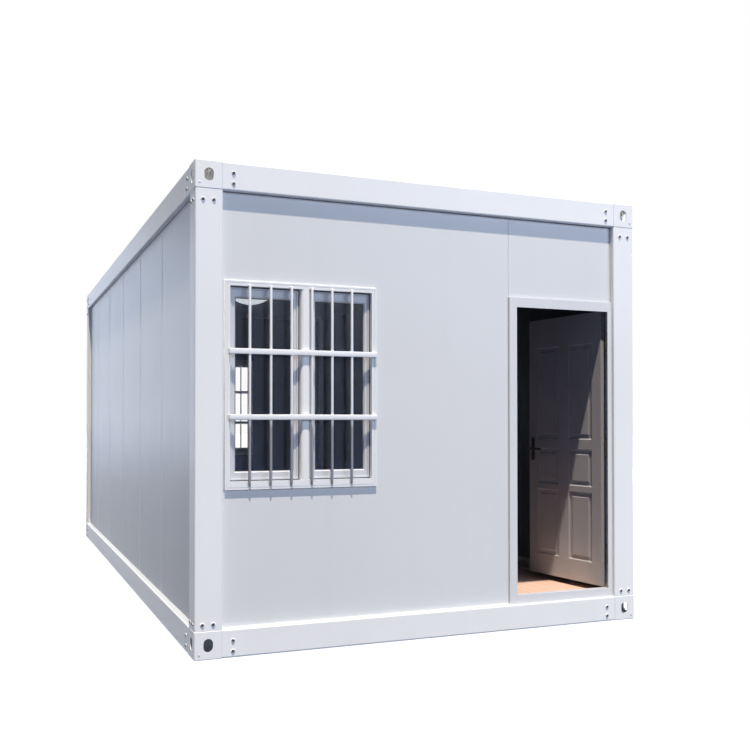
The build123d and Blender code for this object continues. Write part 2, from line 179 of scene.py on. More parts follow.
# Hinges and handles; plates are given as width, height, thickness and corner, screws as radius and height
hinge_shares = (0.11, 0.5, 0.89)
hinge_length = 0.105
hinge_plate_proud = 0.0029
hinge_screw_inset = 0.021
hinge_screw_step = 0.036
hinge_screw = (0.0036, 0.0013)
knuckle_radius = 0.007
finial_share = 0.97
finial_height = 0.0042
handle_backset = 0.044
handle_share = 0.49
handle_plate = (0.036, 0.170, 0.006, 0.012)
handle_screw = (0.0034, 0.0016)
handle_screw_reach = 0.076
handle_screw_seat = 0.0058
lever_stand = 0.0240
lock_drop = 0.056
latch_plate = (0.022, 0.200, 0.0010, 0.009)
strike_plate = (0.022, 0.160, 0.0010, 0.009)

# Linings of the room
skirting_height = 0.075
skirting_depth = 0.010
cove_size = 0.032
skirting_corner = 0.003

# Camera, sun and studio
camera_place = (-2.570, -7.978, 1.328)
camera_heading = -21.513
camera_pitch = 0.73
camera_lens = 43.555
camera_sensor = 36.0
camera_shift = (0.0395, 0.0471)
sun_direction = (-0.0659, -0.2867, 0.9557)
sun_strength = 5.45
sun_colour = (1.0, 0.89, 0.74)
sun_angle = 1.5
sun_distance = 12.0
floor_reach = 90.0
floor_drop = 0.0005
floor_seen = (0.355, 0.385, 0.44, 1.0)
floor_glow = (0.86, 0.92, 1.0, 1.0)
floor_glow_strength = 0.65
floor_unseen = (0.075, 0.09, 0.14, 1.0)
sky_low = (0.07, 0.095, 0.15)
sky_high = (0.05, 0.07, 0.12)

# Softboxes: name, place, aim, width and height, energy and colour
softboxes = (
    ("front_softbox", (9.7, -21.1, 9.4), (0.0, -2.9, 1.4), (12.0, 6.0), 2650.0, (0.68, 0.79, 0.97)),
    ("left_softbox", (-18.0, 3.0, 3.0), (0.0, 1.0, 1.4), (10.0, 6.0), 150.0, (0.58, 0.74, 1.0)),
    ("rear_softbox", (-4.0, 20.0, 3.6), (-4.0, 2.9, 3.6), (14.0, 7.2), 490.0, (0.62, 0.78, 1.0)),
    ("back_softbox", (14.0, 14.0, 5.0), (0.0, 1.0, 1.4), (10.0, 6.0), 1800.0, (0.86, 0.92, 1.0)),
)

# Dust, painted shade and painted reflection on paint
dust_height = 0.55
ground_dust = (0.52, 0.47, 0.40)
# Painted shade: a bluish grey dust tone on upward faces that also holds down their sunlit brightness.
settled_dust_and_shade = (0.45, 0.505, 0.61)
settled_dust_and_shade_share = 0.8
# Painted reflection: the lower half of the long outer walls is darkened as if it reflected dark ground.
painted_ground_reflection = (0.08, 0.10, 0.19)
painted_ground_reflection_share = 0.52
painted_ground_reflection_full = 0.95
painted_ground_reflection_end = 1.42
paint_gloss = 0.2


# Mesh building

class Shape:
    """The points and faces of one piece while it is being put together."""

    def __init__(self):
        self.points = []
        self.faces = []

    def add(self, part, place=Matrix()):
        """Adds the points and faces of a part, moved to its place."""
        points, faces = part
        start = len(self.points)
        self.points += [place @ Vector(point) for point in points]
        self.faces += [tuple(start + index for index in face) for face in faces]


def make_piece(name, shape, material, body="house", smooth_angle=38.0):
    """Turns a shape into a mesh object that rides on a body."""
    mesh = bpy.data.meshes.new(name)
    mesh.from_pydata(shape.points, [], shape.faces)
    work = bmesh.new()
    work.from_mesh(mesh)
    bmesh.ops.recalc_face_normals(work, faces=work.faces)
    work.to_mesh(mesh)
    work.free()
    mesh.shade_smooth()
    mesh.set_sharp_from_angle(angle=math.radians(smooth_angle))
    mesh.materials.append(material)
    piece = bpy.data.objects.new(name, mesh)
    scene.collection.objects.link(piece)
    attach(piece, body)
    return piece


def loft(rings, closed=False):
    """A skin over rings of equally many points, with its ends capped unless it closes on itself."""
    count = len(rings[0])
    points = [point for ring in rings for point in ring]
    faces = []
    last = len(rings) if closed else len(rings) - 1
    for row in range(last):
        near = row * count
        far = (row + 1) % len(rings) * count
        for index in range(count):
            following = (index + 1) % count
            faces.append((near + index, near + following, far + following, far + index))
    if not closed:
        faces.append(tuple(reversed(range(count))))
        faces.append(tuple(range(len(points) - count, len(points))))
    return points, faces


def circle(radius, height, sides, turn=0.0):
    """A ring of points round the Z axis."""
    angles = [turn + 2 * math.pi * index / sides for index in range(sides)]
    return [(radius * math.cos(a), radius * math.sin(a), height) for a in angles]


def lathe(profile, sides, turn=0.0):
    """A turned part from pairs of radius and height, its ends capped."""
    return loft([circle(radius, height, sides, turn) for radius, height in profile])


def rounded_section(wide, tall, corner, steps=4):
    """The outline of a rectangle with round corners, as pairs about its middle."""
    outline = []
    for quarter, (sx, sy) in enumerate(((1, 1), (-1, 1), (-1, -1), (1, -1))):
        for step in range(steps + 1):
            angle = math.pi / 2 * (quarter + step / steps)
            x = sx * (wide / 2 - corner) + corner * math.cos(angle)
            y = sy * (tall / 2 - corner) + corner * math.sin(angle)
            outline.append((x, y))
    return outline


def run(section, start, end, across, up):
    """A straight run of one section from start to end."""
    across = Vector(across)
    up = Vector(up)
    rings = []
    for place in (Vector(start), Vector(end)):
        rings.append([place + across * a + up * b for a, b in section])
    return loft(rings)


def mitred_ring(profile, x0, x1, z0, z1):
    """A closed frame with mitred corners from pairs of inset and depth."""
    corners = ((x0, z0, 1, 1), (x1, z0, -1, 1), (x1, z1, -1, -1), (x0, z1, 1, -1))
    rings = []
    for x, z, sx, sz in corners:
        rings.append([(x + sx * inset, depth, z + sz * inset) for inset, depth in profile])
    return loft(rings, closed=True)


def facing(place, outward):
    """A frame at a place whose Z axis points outward."""
    return Matrix.Translation(place) @ Vector(outward).to_track_quat("Z", "Y").to_matrix().to_4x4()


# Materials

def new_material(name):
    """A node material, its tree and its surface shader."""
    material = bpy.data.materials.new(name)
    material.use_nodes = True
    tree = material.node_tree
    return material, tree, tree.nodes["Principled BSDF"]


def node(tree, kind, inputs=None, **settings):
    """A node with its settings made and its inputs set or linked."""
    made = tree.nodes.new(kind)
    for key, value in settings.items():
        setattr(made, key, value)
    for key, value in (inputs or {}).items():
        if isinstance(value, bpy.types.NodeSocket):
            tree.links.new(value, made.inputs[key])
        else:
            made.inputs[key].default_value = value
    return made


def place_of(tree, stretch=(1.0, 1.0, 1.0)):
    """Coordinates in metres in the part's own frame, scaled along each axis."""
    coordinates = node(tree, "ShaderNodeTexCoord").outputs["Object"]
    return node(tree, "ShaderNodeMapping", {"Vector": coordinates, "Scale": stretch}).outputs["Vector"]


def noise(tree, scale, detail=3.0, stretch=(1.0, 1.0, 1.0)):
    """Soft noise from 0 to 1."""
    inputs = {"Vector": place_of(tree, stretch), "Scale": scale, "Detail": detail}
    return node(tree, "ShaderNodeTexNoise", inputs).outputs["Fac"]


def spread(tree, value, low, high, to_low, to_high):
    """A value carried from one range to another, and held inside it."""
    inputs = {"Value": value, "From Min": low, "From Max": high, "To Min": to_low, "To Max": to_high}
    return node(tree, "ShaderNodeMapRange", inputs).outputs["Result"]


def math_node(tree, operation, first, second):
    """A sum, product or comparison of two values."""
    made = node(tree, "ShaderNodeMath", operation=operation)
    for index, value in enumerate((first, second)):
        if isinstance(value, bpy.types.NodeSocket):
            tree.links.new(value, made.inputs[index])
        else:
            made.inputs[index].default_value = value
    return made.outputs[0]


def mix(tree, factor, first, second):
    """A mix of two colours, each a colour or a socket."""
    made = node(tree, "ShaderNodeMix", {"Factor": factor}, data_type="RGBA")
    for index, colour in ((6, first), (7, second)):
        if isinstance(colour, bpy.types.NodeSocket):
            tree.links.new(colour, made.inputs[index])
        else:
            made.inputs[index].default_value = (*colour, 1.0)
    return made.outputs[2]


def bump(tree, shader, *layers):
    """Stacks bump layers, each a height and its depth in metres."""
    normal = None
    for height, depth in layers:
        made = node(tree, "ShaderNodeBump", {"Height": height, "Strength": 1.0, "Distance": depth})
        if normal:
            tree.links.new(normal, made.inputs["Normal"])
        normal = made.outputs["Normal"]
    tree.links.new(normal, shader.inputs["Normal"])


def scaled(colour, factor):
    """A colour made lighter or darker."""
    return tuple(channel * factor for channel in colour)


def axis_of(tree, axis):
    """One coordinate in metres."""
    return node(tree, "ShaderNodeSeparateXYZ", {"Vector": place_of(tree)}).outputs[axis]


def inside_of(tree, axis, limit):
    """1 where a coordinate lies nearer to the middle of the house than the limit."""
    return math_node(tree, "LESS_THAN", math_node(tree, "ABSOLUTE", axis_of(tree, axis), 0.0), limit)


def upper_faces(tree):
    """1 on faces that look up, where dust settles and painted shade holds down their sunlit brightness."""
    normal = node(tree, "ShaderNodeNewGeometry").outputs["Normal"]
    upward = node(tree, "ShaderNodeSeparateXYZ", {"Vector": normal}).outputs["Z"]
    return spread(tree, upward, 0.75, 0.95, 0.0, 1.0)


def inside_of_fitting(tree):
    """1 on the inner faces of the corner fittings."""
    level = math_node(tree, "SUBTRACT", axis_of(tree, "Z"), house_height / 2)
    reach = math_node(tree, "ABSOLUTE", level, 0.0)
    inside = math_node(tree, "LESS_THAN", reach, house_height / 2 - fitting_skin)
    for axis, half in (("X", half_width), ("Y", half_length)):
        inside = math_node(tree, "MULTIPLY", inside, inside_of(tree, axis, half - fitting_skin))
    return inside


def painted_ground_reflection_mask(tree):
    """1 on the lower half of the two long outer walls, with a cloudy edge, for a painted reflection of dark
    ground.
    """
    outer = math_node(tree, "SUBTRACT", 1.0, inside_of(tree, "X", wall_face_x - seam_bead))
    cloud = spread(tree, noise(tree, 1.3, 3.0, (1.0, 1.0, 0.4)), 0.3, 0.7, -0.05, 0.05)
    height = math_node(tree, "ADD", axis_of(tree, "Z"), cloud)
    low = node(tree, "ShaderNodeMapRange", {
        "Value": height, "From Min": painted_ground_reflection_full, "From Max": painted_ground_reflection_end,
        "To Min": 1.0, "To Max": 0.0,
    }, interpolation_type="SMOOTHSTEP").outputs["Result"]
    return math_node(tree, "MULTIPLY", outer, low)


def leaf_edge_shade_mask(tree):
    """1 on the hinge edge of the door leaf, which takes painted shade against the sun it catches."""
    along = Vector((-math.cos(leaf_open_angle), math.sin(leaf_open_angle), 0.0))
    product = node(tree, "ShaderNodeVectorMath", {0: place_of(tree), 1: along}, operation="DOT_PRODUCT")
    start = along.dot(Vector((hinge_x, hinge_y, 0.0)))
    return math_node(tree, "LESS_THAN", product.outputs["Value"], start + hinge_x - leaf_right + edge_reach)


def paint(name, colour, roughness, dust=0.10, waviness=0.0, lining=None, edge=None, painted_light_hollow=None):
    """Sprayed or coil-coated paint: cloudy tone, streaks, dust low down, dust and painted shade on upper
    faces, orange peel.
    """
    material, tree, shader = new_material(name)
    cloud = spread(tree, noise(tree, 0.8), 0.35, 0.65, 0.0, 1.0)
    tone = mix(tree, cloud, scaled(colour, 0.975), scaled(colour, 1.02))
    streaks = spread(tree, noise(tree, 9.0, 4.0, (1.0, 1.0, 0.05)), 0.52, 0.75, 0.0, 0.35 * min(dust, 0.1))
    tone = mix(tree, streaks, tone, scaled(colour, 0.55))
    height = spread(tree, axis_of(tree, "Z"), 0.0, dust_height, 1.0, 0.0)
    patches = spread(tree, noise(tree, 5.0, 5.0), 0.35, 0.7, 0.25, 1.0)
    low_dust = math_node(tree, "MULTIPLY", math_node(tree, "MULTIPLY", height, patches), dust)
    tone = mix(tree, low_dust, tone, ground_dust)
    # Dust and painted shade on upward faces.
    tone = mix(tree, math_node(tree, "MULTIPLY", upper_faces(tree), settled_dust_and_shade_share), tone, settled_dust_and_shade)
    if lining:
        # Painted reflection of dark ground on the lower half of the long outer walls.
        tone = mix(tree, math_node(tree, "MULTIPLY", painted_ground_reflection_mask(tree), painted_ground_reflection_share), tone, painted_ground_reflection)
        # Painted shade: the room's inner faces take the dark lining colour.
        inside = math_node(tree, "MULTIPLY", inside_of(tree, "X", (wall_face_x + lining_x) / 2),
                           inside_of(tree, "Y", (wall_face_y + lining_y) / 2))
        tone = mix(tree, inside, tone, lining)
    # Painted shade on the leaf's hinge edge, which the sun lights more than the face.
    if edge:
        tone = mix(tree, leaf_edge_shade_mask(tree), tone, edge)
    # Painted light: the fittings' inner faces are paler, to lift the shade inside them.
    if painted_light_hollow:
        tone = mix(tree, inside_of_fitting(tree), tone, painted_light_hollow)
    tree.links.new(tone, shader.inputs["Base Color"])
    grain = spread(tree, noise(tree, 60.0, 4.0), 0.3, 0.7, roughness - 0.05, roughness + 0.07)
    tree.links.new(grain, shader.inputs["Roughness"])
    shader.inputs["Specular IOR Level"].default_value = paint_gloss
    layers = [(noise(tree, 420.0, 2.0), 0.00012)]
    if waviness:
        waves = noise(tree, 1.6, 1.0, (1.0, 1.0, 0.35))
        outside = math_node(tree, "SUBTRACT", 1.0, inside)
        layers.append((math_node(tree, "MULTIPLY", waves, outside), waviness))
    bump(tree, shader, *layers)
    return material


def metal(name, colour, roughness, metallic=0.9, mottle=30.0):
    """Bare or plated steel with a mottled tone."""
    material, tree, shader = new_material(name)
    shader.inputs["Metallic"].default_value = metallic
    spots = spread(tree, noise(tree, mottle, 4.0), 0.3, 0.7, 0.0, 1.0)
    tree.links.new(mix(tree, spots, scaled(colour, 0.8), scaled(colour, 1.12)), shader.inputs["Base Color"])
    gloss = spread(tree, spots, 0.0, 1.0, roughness - 0.08, roughness + 0.1)
    tree.links.new(gloss, shader.inputs["Roughness"])
    bump(tree, shader, (noise(tree, 500.0, 3.0), 0.00008))
    return material


def galvanised():
    """Hot-dip zinc with its spangle."""
    material, tree, shader = new_material("galvanised_steel")
    shader.inputs["Metallic"].default_value = 0.85
    cells = node(tree, "ShaderNodeTexVoronoi", {"Vector": place_of(tree), "Scale": 55.0}).outputs["Color"]
    tone = node(tree, "ShaderNodeSeparateColor", {"Color": cells}).outputs[0]
    tree.links.new(mix(tree, tone, (0.42, 0.44, 0.46), (0.62, 0.64, 0.66)), shader.inputs["Base Color"])
    tree.links.new(spread(tree, tone, 0.0, 1.0, 0.32, 0.5), shader.inputs["Roughness"])
    bump(tree, shader, (tone, 0.0001))
    return material


def rubber(name, colour, roughness):
    """Matt rubber, sealant or felt."""
    material, tree, shader = new_material(name)
    patches = noise(tree, 25.0, 4.0)
    tone = mix(tree, patches, scaled(colour, 0.8), scaled(colour, 1.2))
    tree.links.new(tone, shader.inputs["Base Color"])
    gloss = spread(tree, patches, 0.3, 0.7, roughness - 0.05, roughness + 0.08)
    tree.links.new(gloss, shader.inputs["Roughness"])
    bump(tree, shader, (noise(tree, 300.0, 3.0), 0.0002))
    return material


def window_glass():
    """Clear float glass with a faint, uneven film of dust that softens what it reflects."""
    material, tree, shader = new_material("window_glass")
    shader.inputs["Transmission Weight"].default_value = 1.0
    shader.inputs["IOR"].default_value = 1.22
    shader.inputs["Specular Tint"].default_value = (0.1, 0.3, 1.0, 1.0)
    shader.inputs["Coat Weight"].default_value = 0.24
    shader.inputs["Coat Roughness"].default_value = 0.28
    shader.inputs["Coat IOR"].default_value = 1.5
    film = spread(tree, noise(tree, 3.0, 5.0), 0.3, 0.75, 0.0, 1.0)
    tree.links.new(mix(tree, film, (0.998, 0.999, 1.0), (0.985, 0.99, 0.995)), shader.inputs["Base Color"])
    tree.links.new(spread(tree, film, 0.0, 1.0, 0.0, 0.012), shader.inputs["Roughness"])
    return material


def grille_steel():
    """Satin coated tube, darker towards the foot as a painted reflection of dark ground."""
    material, tree, shader = new_material("grille_steel")
    foot = window_low.z + light_bottom
    # Painted reflection: the bars darken towards the foot as if they reflected dark ground.
    height = spread(tree, axis_of(tree, "Z"), foot + 0.30, foot + 0.37, 1.0, 0.0)
    cloud = noise(tree, 6.0, 4.0, (1.0, 1.0, 0.3))
    tone = mix(tree, cloud, (0.74, 0.75, 0.78), (0.80, 0.81, 0.83))
    tree.links.new(mix(tree, height, tone, (0.27, 0.27, 0.30)), shader.inputs["Base Color"])
    tree.links.new(spread(tree, cloud, 0.3, 0.7, 0.28, 0.4), shader.inputs["Roughness"])
    bump(tree, shader, (noise(tree, 350.0, 2.0), 0.0001))
    return material


def floor_board():
    """Wood-toned planks with their grain along the house."""
    material, tree, shader = new_material("floor_board")
    quarter_turn = (0.0, 0.0, math.pi / 2)
    turned = node(tree, "ShaderNodeMapping", {"Vector": place_of(tree), "Rotation": quarter_turn})
    planks = node(tree, "ShaderNodeTexBrick", {
        "Vector": turned.outputs["Vector"],
        "Color1": (0.70, 0.50, 0.42, 1.0), "Color2": (0.65, 0.455, 0.375, 1.0),
        "Mortar": (0.28, 0.17, 0.12, 1.0), "Mortar Size": 0.0015,
        "Scale": 1.0, "Brick Width": 1.21, "Row Height": 0.165,
    })
    grain = spread(tree, noise(tree, 22.0, 6.0, (1.0, 0.05, 1.0)), 0.35, 0.7, 0.0, 0.4)
    tone = mix(tree, grain, planks.outputs["Color"], (0.51, 0.325, 0.225))
    tree.links.new(tone, shader.inputs["Base Color"])
    tree.links.new(spread(tree, grain, 0.0, 0.4, 0.38, 0.55), shader.inputs["Roughness"])
    bump(tree, shader, (planks.outputs["Fac"], -0.0008), (grain, 0.0003))
    return material


def lamp_diffuser():
    """Opal plastic that is lit from within."""
    material, tree, shader = new_material("lamp_diffuser")
    cloud = noise(tree, 7.0)
    tree.links.new(mix(tree, cloud, (0.80, 0.83, 0.86), (0.86, 0.88, 0.90)), shader.inputs["Base Color"])
    shader.inputs["Roughness"].default_value = 0.45
    shader.inputs["Emission Color"].default_value = (0.86, 0.93, 1.0, 1.0)
    shader.inputs["Emission Strength"].default_value = 0.6
    return material


finishes = {
    "frame_paint": paint("frame_paint", (0.83, 0.835, 0.85), 0.36, dust=0.06),
    # The wall lining colour is painted shade that keeps the room dark.
    "wall_paint": paint("wall_paint", (0.68, 0.69, 0.71), 0.36, dust=0.08, waviness=0.0025,
                        lining=(0.11, 0.125, 0.17)),
    "window_white": paint("window_white", (0.79, 0.80, 0.815), 0.32, dust=0.06),
    "window_glass": window_glass(),
    "grille_steel": grille_steel(),
    "door_frame_paint": paint("door_frame_paint", (0.68, 0.685, 0.705), 0.36, dust=0.10),
    # The leaf's edge colour is painted shade on its sunlit hinge edge.
    "door_leaf_paint": paint("door_leaf_paint", (0.225, 0.215, 0.24), 0.42, dust=0.8,
                             edge=(0.05, 0.045, 0.045)),
    "hardware_steel": metal("hardware_steel", (0.10, 0.095, 0.095), 0.38, metallic=0.7),
    "floor_board": floor_board(),
    "galvanised_steel": galvanised(),
    "roof_steel": paint("roof_steel", (0.36, 0.38, 0.42), 0.45, dust=0.30),
    # The ceiling's dark grey is painted shade that keeps the room dark.
    "ceiling_white": paint("ceiling_white", (0.26, 0.275, 0.31), 0.50, dust=0.05),
    "lamp_diffuser": lamp_diffuser(),
}
leaf_sheen = finishes["door_leaf_paint"].node_tree.nodes["Principled BSDF"].inputs
leaf_sheen["Sheen Weight"].default_value = 0.85
leaf_sheen["Sheen Roughness"].default_value = 0.8
leaf_sheen["Sheen Tint"].default_value = (0.95, 0.95, 1.0, 1.0)
bolt_steel = metal("bolt_steel", (0.06, 0.06, 0.07), 0.30, metallic=0.0, mottle=90.0)
plug_grey = metal("plug_grey", (0.50, 0.50, 0.53), 0.45, metallic=0.4, mottle=90.0)
gasket_grey = rubber("gasket_grey", (0.20, 0.21, 0.24), 0.65)
gasket_black = rubber("gasket_black", (0.05, 0.05, 0.055), 0.6)
sealant_white = rubber("sealant_white", (0.80, 0.81, 0.84), 0.5)
skirting_grey = rubber("skirting_grey", (0.30, 0.31, 0.33), 0.5)
# A greyer copy of the window white: partly the sashes' own tone, partly painted shade for their recess.
grey_and_shaded_sash_paint = paint("grey_and_shaded_sash_paint", (0.57, 0.58, 0.62), 0.34, dust=0.05)
# Painted light: the inner faces of the fittings are paler, to lift their shade.
fitting_paint = paint("fitting_paint", (0.83, 0.835, 0.85), 0.36, dust=0.06, painted_light_hollow=(0.95, 0.955, 0.96))

for part in frame["record"]["subparts"]:
    piece = nodes[part["node"]]
    for holder in piece.material_slots:
        holder.material = finishes[part["material_slot"]]
        if "_fitting_" in part["node"]:
            holder.material = fitting_paint
        if part["node"].endswith("_sashes"):
            holder.material = grey_and_shaded_sash_paint


# Steel frame fasteners

def washer_part():
    """A painted washer, domed up to the bolt's head."""
    profile = []
    for step in range(6):
        angle = math.pi / 2 * step / 5
        radius = bolt_radius - 0.0006 + (washer_radius - bolt_radius) * math.cos(angle)
        profile.append((radius, washer_height * math.sin(angle)))
    return lathe(profile, 28)


def bolt_part():
    """A low domed head with a socket in its crown, seated on its washer."""
    edge = 0.0003
    crown = math.acos(bolt_socket_share)
    rise = bolt_height / math.sin(crown)
    profile = []
    for step in range(7):
        angle = crown * step / 6
        profile.append((bolt_radius * math.cos(angle), washer_height - edge + rise * math.sin(angle)))
    socket = bolt_radius * bolt_socket_share
    profile.append((socket - edge, washer_height + bolt_height - 2 * edge))
    profile.append((socket - 2 * edge, washer_height + bolt_height - bolt_socket_depth))
    return lathe(profile, 24)


def plug_part():
    """A small domed plug."""
    shares = ((1.0, 0.0), (0.97, 0.45), (0.75, 0.8), (0.4, 0.97), (0.15, 1.0))
    return lathe([(plug_radius * r, plug_height * h) for r, h in shares], 16)


def face_frames():
    """The four upright faces: half width, and two functions that place a part on the steel or a fitting."""
    faces = []
    for side in (-1, 1):
        faces.append((half_width, lambda u, z, s=side: facing((u, s * steel_face_y, z), (0, s, 0)),
                      lambda u, z, s=side: facing((u, s * half_length, z), (0, s, 0))))
        faces.append((half_length, lambda u, z, s=side: facing((s * steel_face_x, u, z), (s, 0, 0)),
                      lambda u, z, s=side: facing((s * half_width, u, z), (s, 0, 0))))
    return faces


def frame_fasteners():
    """The bolts of beams and posts, and the plugs of the corner fittings, on all four faces."""
    bolts = Shape()
    washers = Shape()
    plugs = Shape()
    bolt = bolt_part()
    washer = washer_part()
    plug = plug_part()
    turn = 0
    for half, steel, cast in face_frames():
        for side in (-1, 1):
            spots = [(beam_bolt_offset, house_height - drop) for drop in beam_bolt_drops]
            spots += [(beam_bolt_offset, rise) for rise in beam_bolt_rises]
            spots += [(offset, house_height - post_bolt_drop) for offset in post_bolt_offsets]
            spots += [(offset, post_bolt_rise) for offset in post_bolt_offsets]
            for offset, z in spots:
                turn += 1
                place = steel(side * (half - offset), z) @ Matrix.Rotation(turn, 4, "Z")
                bolts.add(bolt, place)
                washers.add(washer, place)
            for z in (house_height - plug_drop, plug_rise):
                plugs.add(plug, cast(side * (half - plug_offset), z))
    make_piece("frame_bolts", bolts, bolt_steel, smooth_angle=30.0)
    make_piece("frame_washers", washers, finishes["frame_paint"])
    make_piece("fitting_plugs", plugs, plug_grey)


# Walls

def wall_seals():
    """Seals under the top beams, sealant along the panels' feet and strips over the side walls' seams."""
    grey = Shape()
    white = Shape()
    strips = Shape()
    seal = rounded_section(head_seal_wide, head_seal_tall, head_seal_corner)
    bead = rounded_section(foot_bead_size, foot_bead_size, foot_bead_corner)
    seam = rounded_section(seam_bead, seam_bead * 0.7, seam_bead * 0.3)
    up = (0, 0, 1)
    head_z = wall_head - head_seal_tall / 2
    foot_z = wall_foot + foot_bead_rise
    for side in (-1, 1):
        x = side * wall_face_x
        grey.add(run(seal, (x, -post_inner_y, head_z), (x, post_inner_y, head_z), (1, 0, 0), up))
        white.add(run(bead, (x, -post_inner_y, foot_z), (x, post_inner_y, foot_z), (1, 0, 0), up))
        for number in range(side_seams):
            y = -post_inner_y + first_panel + number * panel_module
            seam_x = x - side * seam_bead * seam_sink_share
            strips.add(run(seam, (seam_x, y, wall_foot), (seam_x, y, wall_head), (0, 1, 0), (1, 0, 0)))
        y = side * wall_face_y
        grey.add(run(seal, (-post_inner_x, y, head_z), (post_inner_x, y, head_z), (0, 1, 0), up))
        foot_end = door_frame_low.x if side < 0 else post_inner_x
        white.add(run(bead, (-post_inner_x, y, foot_z), (foot_end, y, foot_z), (0, 1, 0), up))
    make_piece("wall_head_seals", grey, gasket_grey)
    make_piece("wall_beads", white, sealant_white)
    make_piece("wall_seam_strips", strips, finishes["frame_paint"])


def room_linings():
    """Skirting boards along the floor and coves along the ceiling, between the posts and up to the door."""
    boards = Shape()
    coves = Shape()
    board = rounded_section(skirting_depth, skirting_height, skirting_corner)
    cove = [(-0.5, 0.5), (0.5, 0.5), (0.5, -0.5), (0.36, -0.5), (0.22, -0.1), (-0.1, 0.22), (-0.5, 0.36)]
    board_z = deck_top + skirting_height / 2
    cove_z = wall_head - cove_size / 2
    for side in (-1, 1):
        rows = ((boards, board, skirting_depth, board_z), (coves, None, cove_size, cove_z))
        for shape, section, depth, z in rows:
            x = side * (lining_x - depth / 2)
            y = side * (lining_y - depth / 2)
            outline = section or [(side * a * cove_size, b * cove_size) for a, b in cove]
            shape.add(run(outline, (x, -post_inner_y, z), (x, post_inner_y, z), (1, 0, 0), (0, 0, 1)))
            end_x = door_frame_low.x if side < 0 and section else post_inner_x
            shape.add(run(outline, (-post_inner_x, y, z), (end_x, y, z), (0, 1, 0), (0, 0, 1)))
    make_piece("room_skirtings", boards, skirting_grey)
    make_piece("room_coves", coves, finishes["ceiling_white"])


# Windows

def window_places():
    """The two window units and where they stand."""
    yield "front", Matrix.Translation((window_low.x, window_low.y + flange_proud, window_low.z))
    low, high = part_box("rear_window_frame")
    corner = Matrix.Translation((high.x, high.y - flange_proud, low.z))
    yield "rear", corner @ Matrix.Rotation(math.pi, 4, "Z")


def window_trim(end, place):
    """Seals round the sashes, covers on them, glazing beads, glass gaskets and the sealant at the wall."""
    seals = Shape()
    covers = Shape()
    beads = Shape()
    gaskets = Shape()
    for x0, x1 in window_lights:
        seals.add(mitred_ring([
            (-0.0002, sash_front), (-0.0002, sash_front - 0.0018), (0.0034, sash_front - 0.0022),
            (0.0052, sash_front - 0.0010), (0.0052, sash_front),
        ], x0, x1, light_bottom, light_top), place)
        covers.add(mitred_ring([
            (0.0054, sash_front), (0.0054, sash_front - 0.0034), (0.0066, sash_front - 0.0045),
            (0.0158, sash_front - 0.0045), (0.0170, sash_front - 0.0034), (0.0170, sash_front),
        ], x0, x1, light_bottom, light_top), place)
        inner = (x0 + sash_side, x1 - sash_side, light_bottom + sash_foot, light_top - sash_head)
        beads.add(mitred_ring([
            (0.0, sash_front + 0.0015), (0.0, glass_front), (0.0085, glass_front),
            (0.0085, glass_front - 0.0025), (0.0060, glass_front - 0.0065), (0.0020, sash_front + 0.0012),
        ], *inner), place)
        beads.add(mitred_ring([
            (-glass_rebate, glass_back), (-glass_rebate, sash_back), (-0.0030, sash_back),
            (0.0040, sash_back - 0.0060), (0.0065, glass_back + 0.0060), (0.0065, glass_back),
        ], *inner), place)
        for depth, out in ((glass_front, -1), (glass_back, 1)):
            start = 0.0085 if out < 0 else 0.0065
            gaskets.add(mitred_ring([
                (start, depth), (start, depth + out * 0.0022), (start + 0.0026, depth + out * 0.0014),
                (start + 0.0034, depth),
            ], *inner), place)
    low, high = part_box(f"{end}_window_frame")
    wide = high.x - low.x
    tall = high.z - low.z
    sealant = Shape()
    sealant.add(mitred_ring([
        (0.0, -0.005), (-0.0022, -0.0042), (-0.0048, -0.0012), (-0.0050, 0.0), (0.0, 0.0),
    ], 0.0, wide, 0.0, tall), place)
    make_piece(f"{end}_sash_seals", seals, gasket_black)
    make_piece(f"{end}_sash_covers", covers, grey_and_shaded_sash_paint)
    make_piece(f"{end}_glazing_beads", beads, grey_and_shaded_sash_paint)
    make_piece(f"{end}_glass_gaskets", gaskets, gasket_black)
    make_piece(f"{end}_window_sealant", sealant, sealant_white)


def window_bars(end, place):
    """The security grille: round bars with tapered tips through two flat tubes, welded at each crossing."""
    bars = Shape()
    depth = -flange_proud - rail_depth / 2
    section = rounded_section(rail_depth, rail_height, rail_corner)
    small = rounded_section(rail_depth - 0.004, rail_height - 0.004, rail_corner / 2)
    for z in rail_places:
        rings = []
        for x, outline in ((rail_left, small), (rail_left + 0.002, section), (rail_right - 0.002, section),
                           (rail_right, small)):
            rings.append([(x, depth + a, z + b) for a, b in outline])
        bars.add(loft(rings), place)
    weld = bar_radius + 0.0022
    for x in bar_places:
        bars.add(lathe([
            (bar_radius * 0.40, bar_foot), (bar_radius * 0.70, bar_foot + 0.008),
            (bar_radius, bar_foot + 0.030), (bar_radius, bar_head - 0.010),
            (bar_radius * 0.88, bar_head - 0.003), (bar_radius * 0.55, bar_head),
        ], 24), place @ Matrix.Translation((x, depth, 0.0)))
        for z in rail_places:
            for side in (-1, 1):
                face = z + side * rail_height / 2
                bars.add(lathe([
                    (weld, face - side * 0.0005), (weld - 0.0004, face + side * 0.0012),
                    (bar_radius - 0.0002, face + side * 0.0034),
                ], 24), place @ Matrix.Translation((x, depth, 0.0)))
    grille = make_piece(f"{end}_grille_bars", bars, finishes["grille_steel"])
    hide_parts(f"{end}_window_grille")


# Door

def opened():
    """The turn from the shut leaf, as it is drawn, to the leaf at rest."""
    hinge = Matrix.Translation((hinge_x, hinge_y, 0.0))
    return hinge @ Matrix.Rotation(-leaf_open_angle, 4, "Z") @ hinge.inverted()


